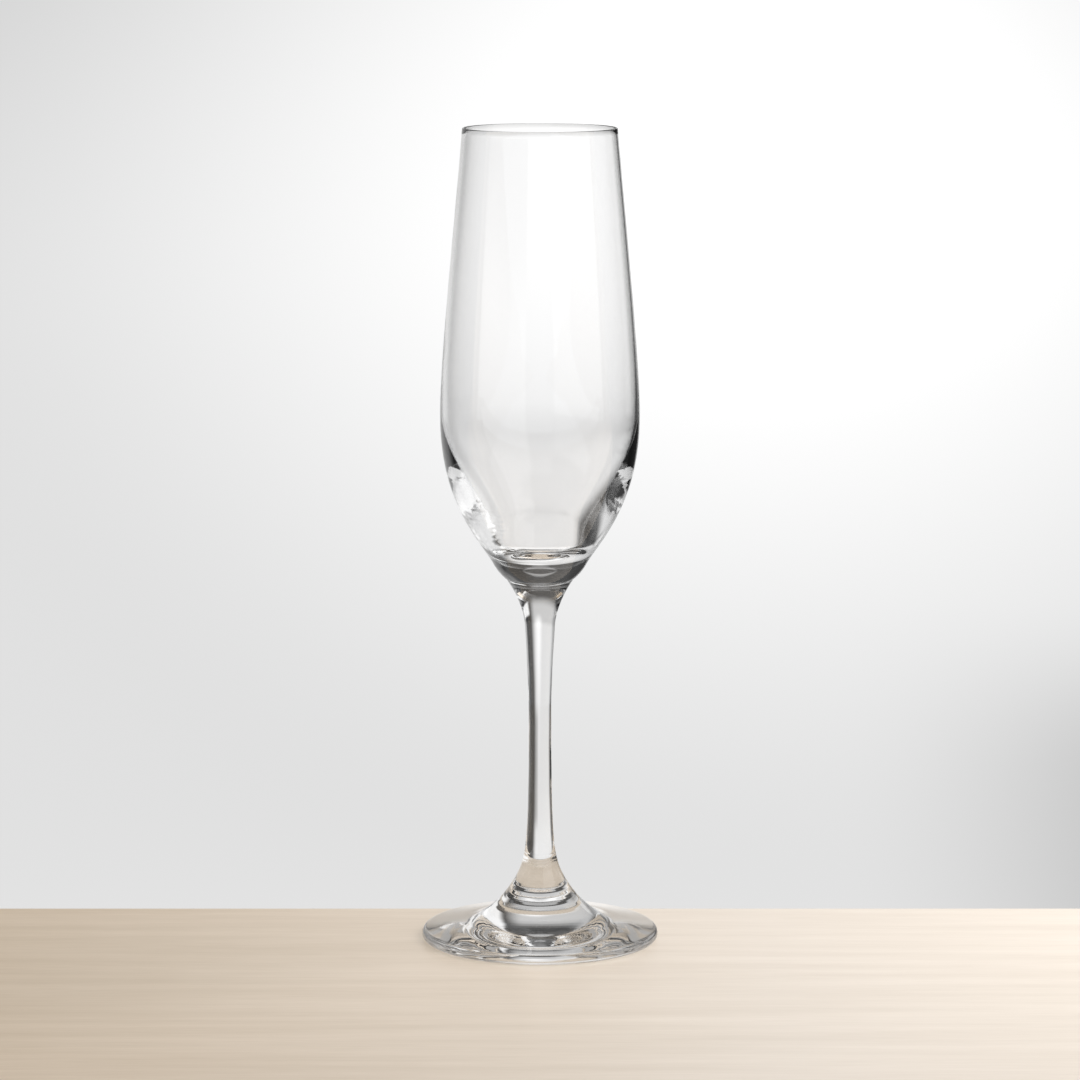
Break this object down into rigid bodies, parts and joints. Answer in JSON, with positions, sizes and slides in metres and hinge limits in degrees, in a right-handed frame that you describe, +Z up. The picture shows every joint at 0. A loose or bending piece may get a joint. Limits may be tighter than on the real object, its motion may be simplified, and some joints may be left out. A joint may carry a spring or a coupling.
{
  "type": "champagne flute",
  "caption": "Tall clear champagne flute: thin-walled tulip bowl with a thick base, slim drawn stem with flared ends, and a round coned foot with a slightly hollow underside.",
  "frame": {"origin": "on the glass's axis, at the height of the surface that the foot's ring stands on", "axes": "+Z up along the axis from foot to rim; X and Y are any two horizontal directions, because the glass is round"},
  "size_m": [0.0656, 0.0656, 0.225],
  "materials": {
    "clear_glass": "clear, fire-polished, uncoloured"
  },
  "bodies": {
    "root": {"bowl": "clear_glass", "stem": "clear_glass", "foot": "clear_glass"}
  },
  "joints": []
}
